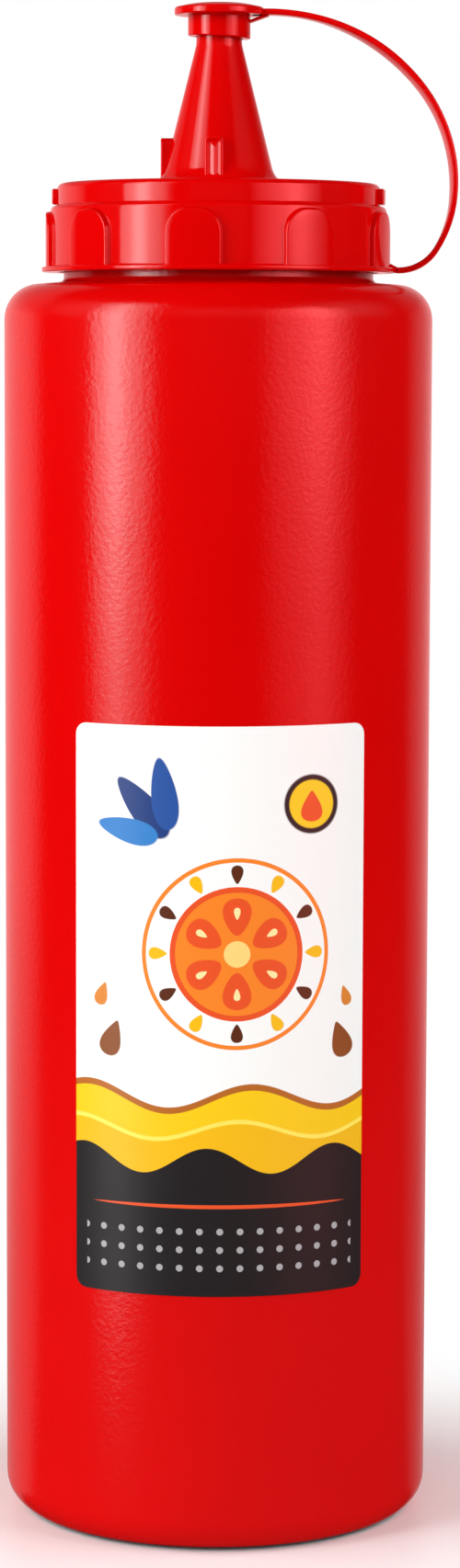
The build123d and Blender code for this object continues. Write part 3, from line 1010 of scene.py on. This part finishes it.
scaled = add(wedges, "ShaderNodeVectorMath", {
    0: flat_place.outputs[0], "Scale": reach.outputs["Value"]}, operation="SCALE")
add(wedges, "NodeGroupOutput", {"Place": scaled.outputs[0]})
print("wedge group has", len(wedges.nodes), "nodes")

# %% Ground and slice
# Rings of the slice: inner radius in mm and ink. The last one is the ground of the label.
BARE_FILM = "#F6F4F1"
TOMATO = "#E8501E"
ORANGE = "#F58220"
SLICE = (3.0, 63.0, 0.0)
SLICE_REACH = 20.0
SLICE_RINGS = ((0, "#FBD27A"), (2.4, ORANGE), (11.2, TOMATO), (12.2, BARE_FILM),
               (16.7, ORANGE), (17.5, BARE_FILM))

printed, tree, shader = new_material("printed_polypropylene_film")
spot = add(tree, "ShaderNodeUVMap", uv_map="print_mm").outputs["UV"]
part = add(tree, "ShaderNodeSeparateXYZ", {0: spot})
from_middle = add(tree, "ShaderNodeVectorMath", {0: spot, 1: SLICE}, operation="DISTANCE")
share = add(tree, "ShaderNodeMath", {0: from_middle.outputs["Value"], 1: 1 / SLICE_REACH},
            operation="MULTIPLY")
rings = add(tree, "ShaderNodeValToRGB", {"Fac": share.outputs[0]})
rings.color_ramp.interpolation = "CONSTANT"
for radius, ink in SLICE_RINGS[2:]:
    rings.color_ramp.elements.new(radius / SLICE_REACH)
for stop, (radius, ink) in zip(rings.color_ramp.elements, SLICE_RINGS):
    stop.position = radius / SLICE_REACH
    stop.color = linear(ink)
paint = rings.outputs["Color"]
print("rings of the slice:", len(rings.color_ramp.elements))

# %% Motifs laid over the ground
BLACK_INK = "#231F20"
BROWN = "#8A4A1B"
AMBER = "#D9822B"


def laid_over(under, ink, mask_socket):
    """The ink laid over what is under it, where the mask is white."""
    return add(tree, "ShaderNodeMix", {"Factor": mask_socket, "A": under, "B": linear(ink)},
               data_type="RGBA").outputs[2]


def motif_mask(centre, size, turn=0.0, pinch=0.0, place=spot):
    """The mask of one ellipse or drop, in mm from the middle of the label's foot."""
    return add(tree, "ShaderNodeGroup", {
        "Place": place, "Centre": (*centre, 0), "Size": (*size, 1), "Turn": math.radians(turn),
        "Pinch": pinch}, node_tree=motif).outputs["Mask"]


def round_slice(count, shift):
    """The plane folded so that one motif shows count times round the slice."""
    return add(tree, "ShaderNodeGroup", {
        "Place": spot, "Centre": SLICE, "Half Wedge": math.pi / count,
        "Shift": math.radians(shift)}, node_tree=wedges).outputs["Place"]


sixths = round_slice(6, 0)
between = round_slice(6, 30)
# Each motif: centre, half width and height, turn, pinch, ink and plane. In this order come the
# chambers of the slice and their seeds, the drops round it, three leaves, drops at both sides,
# and the badge.
motifs = [
    ((0, 6.8), (2.5, 3.4), 0, 0.35, TOMATO, sixths),
    ((0, 7.4), (0.55, 1.1), 0, 0.5, "#FCE3A1", sixths),
    ((0, 14.5), (1.0, 1.7), 0, 0.5, "#5B2A12", sixths),
    ((0, 14.5), (1.0, 1.7), 0, 0.5, "#F5B800", between),
    ((-14.5, 89.5), (2.6, 7.0), -42, -0.3, "#1B3A7A", spot),
    ((-10.4, 92.0), (2.4, 6.6), -8, -0.3, "#25509B", spot),
    ((-17.4, 85.2), (2.2, 6.0), -78, -0.3, "#2F7CC4", spot),
    ((-20.5, 47.0), (1.9, 3.4), 20, -0.6, BROWN, spot),
    ((-22.6, 55.0), (1.2, 2.2), 20, -0.6, AMBER, spot),
    ((23.4, 46.5), (2.0, 3.4), -18, -0.6, BROWN, spot),
    ((24.4, 54.5), (1.0, 1.9), -18, -0.6, AMBER, spot),
    ((17.0, 90.0), (5.4, 5.4), 0, 0, BLACK_INK, spot),
    ((17.0, 90.0), (4.4, 4.4), 0, 0, "#F5C518", spot),
    ((17.0, 89.6), (1.9, 2.8), 0, -0.6, TOMATO, spot),
]
for centre, size, turn, pinch, ink, place in motifs:
    paint = laid_over(paint, ink, motif_mask(centre, size, turn, pinch, place))
print("motifs:", len(motifs))

# %% Mustard wave and dark foot
WAVE_EDGE_MM = 0.06


def wave_edge(level, height, length, shift):
    """A mask of all that lies below a wave, from sizes in mm."""
    phase = add(tree, "ShaderNodeMath", {
        0: part.outputs["X"], 1: 2 * math.pi / length, 2: shift}, operation="MULTIPLY_ADD")
    sine = add(tree, "ShaderNodeMath", {0: phase.outputs[0]}, operation="SINE")
    line_up = add(tree, "ShaderNodeMath", {0: sine.outputs[0], 1: height, 2: level},
                  operation="MULTIPLY_ADD")
    above = add(tree, "ShaderNodeMath", {0: line_up.outputs[0], 1: part.outputs["Y"]},
                operation="SUBTRACT")
    return add(tree, "ShaderNodeMapRange", {
        "Value": above.outputs[0], "From Min": -WAVE_EDGE_MM, "From Max": WAVE_EDGE_MM,
    }).outputs["Result"]


# Each wave: level, height, length, shift and ink. One that lies just below another leaves a
# rim of it.
waves = (
    (37.0, 2.2, 31.0, 0.4, "#B5651D"), (35.8, 2.2, 31.0, 0.4, "#F7C600"),
    (31.0, 1.7, 31.0, 0.9, "#FFE15A"), (30.2, 1.7, 31.0, 0.9, "#F2B700"),
    (25.0, 2.4, 24.0, 2.2, BLACK_INK))
for level, height, length, shift, ink in waves:
    paint = laid_over(paint, ink, wave_edge(level, height, length, shift))
print("waves:", len(waves))

# %% Rows of dots and a fine rule
DOTS_MIDDLE = (0.0, 8.6, 0.0)
DOTS_HALF = (25.9, 5.1, 1.0)
DOT_HALF_GAP = (1.85, 1.7, 1.0)
DOT = 0.62
RULE_MIDDLE = (0, 16.6)
RULE_HALF = (24.0, 0.35)

from_dots = add(tree, "ShaderNodeVectorMath", {0: spot, 1: DOTS_MIDDLE}, operation="SUBTRACT")
repeated = add(tree, "ShaderNodeVectorMath", {
    0: from_dots.outputs[0], 1: DOT_HALF_GAP, 2: tuple(-gap for gap in DOT_HALF_GAP)},
    operation="WRAP")
dots = motif_mask((0, 0), (DOT, DOT), place=repeated.outputs[0])
away = add(tree, "ShaderNodeVectorMath", {0: from_dots.outputs[0]}, operation="ABSOLUTE")
shares = add(tree, "ShaderNodeVectorMath", {0: away.outputs[0], 1: DOTS_HALF}, operation="DIVIDE")
sides = add(tree, "ShaderNodeSeparateXYZ", {0: shares.outputs[0]})
most = add(tree, "ShaderNodeMath", {0: sides.outputs["X"], 1: sides.outputs["Y"]},
           operation="MAXIMUM")
inside = add(tree, "ShaderNodeMath", {0: most.outputs[0], 1: 1.0}, operation="LESS_THAN")
kept_dots = add(tree, "ShaderNodeMath", {0: dots, 1: inside.outputs[0]}, operation="MULTIPLY")
paint = laid_over(paint, "#A9A5A7", kept_dots.outputs[0])
paint = laid_over(paint, TOMATO, motif_mask(RULE_MIDDLE, RULE_HALF))
print("print has", len(tree.nodes), "nodes")

# %% Finish of the film
# Ink takes the shine off the film, so it looks half matt beside the plastic. Glued to a soft
# wall it ripples over about a centimetre. The UV map is in mm, so its scale is too.
RIPPLE_MM = 9.0
RIPPLE_DEPTH_MM = 0.05
FILM_GLOSS = (0.30, 0.38)

ripple = add(tree, "ShaderNodeTexNoise", {
    "Vector": spot, "Scale": 1 / RIPPLE_MM, "Detail": 1.5})
film_gloss = add(tree, "ShaderNodeMapRange", {
    "Value": ripple.outputs["Fac"], "To Min": FILM_GLOSS[0], "To Max": FILM_GLOSS[1]})
film_bump = add(tree, "ShaderNodeBump", {
    "Height": ripple.outputs["Fac"], "Distance": RIPPLE_DEPTH_MM * MM})
feed(shader, {
    "Base Color": paint, "Roughness": film_gloss.outputs["Result"],
    "Normal": film_bump.outputs["Normal"], "IOR": 1.49})
label = piece("front_label_film", film, printed)
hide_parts("front_label")
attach(label, "bottle")
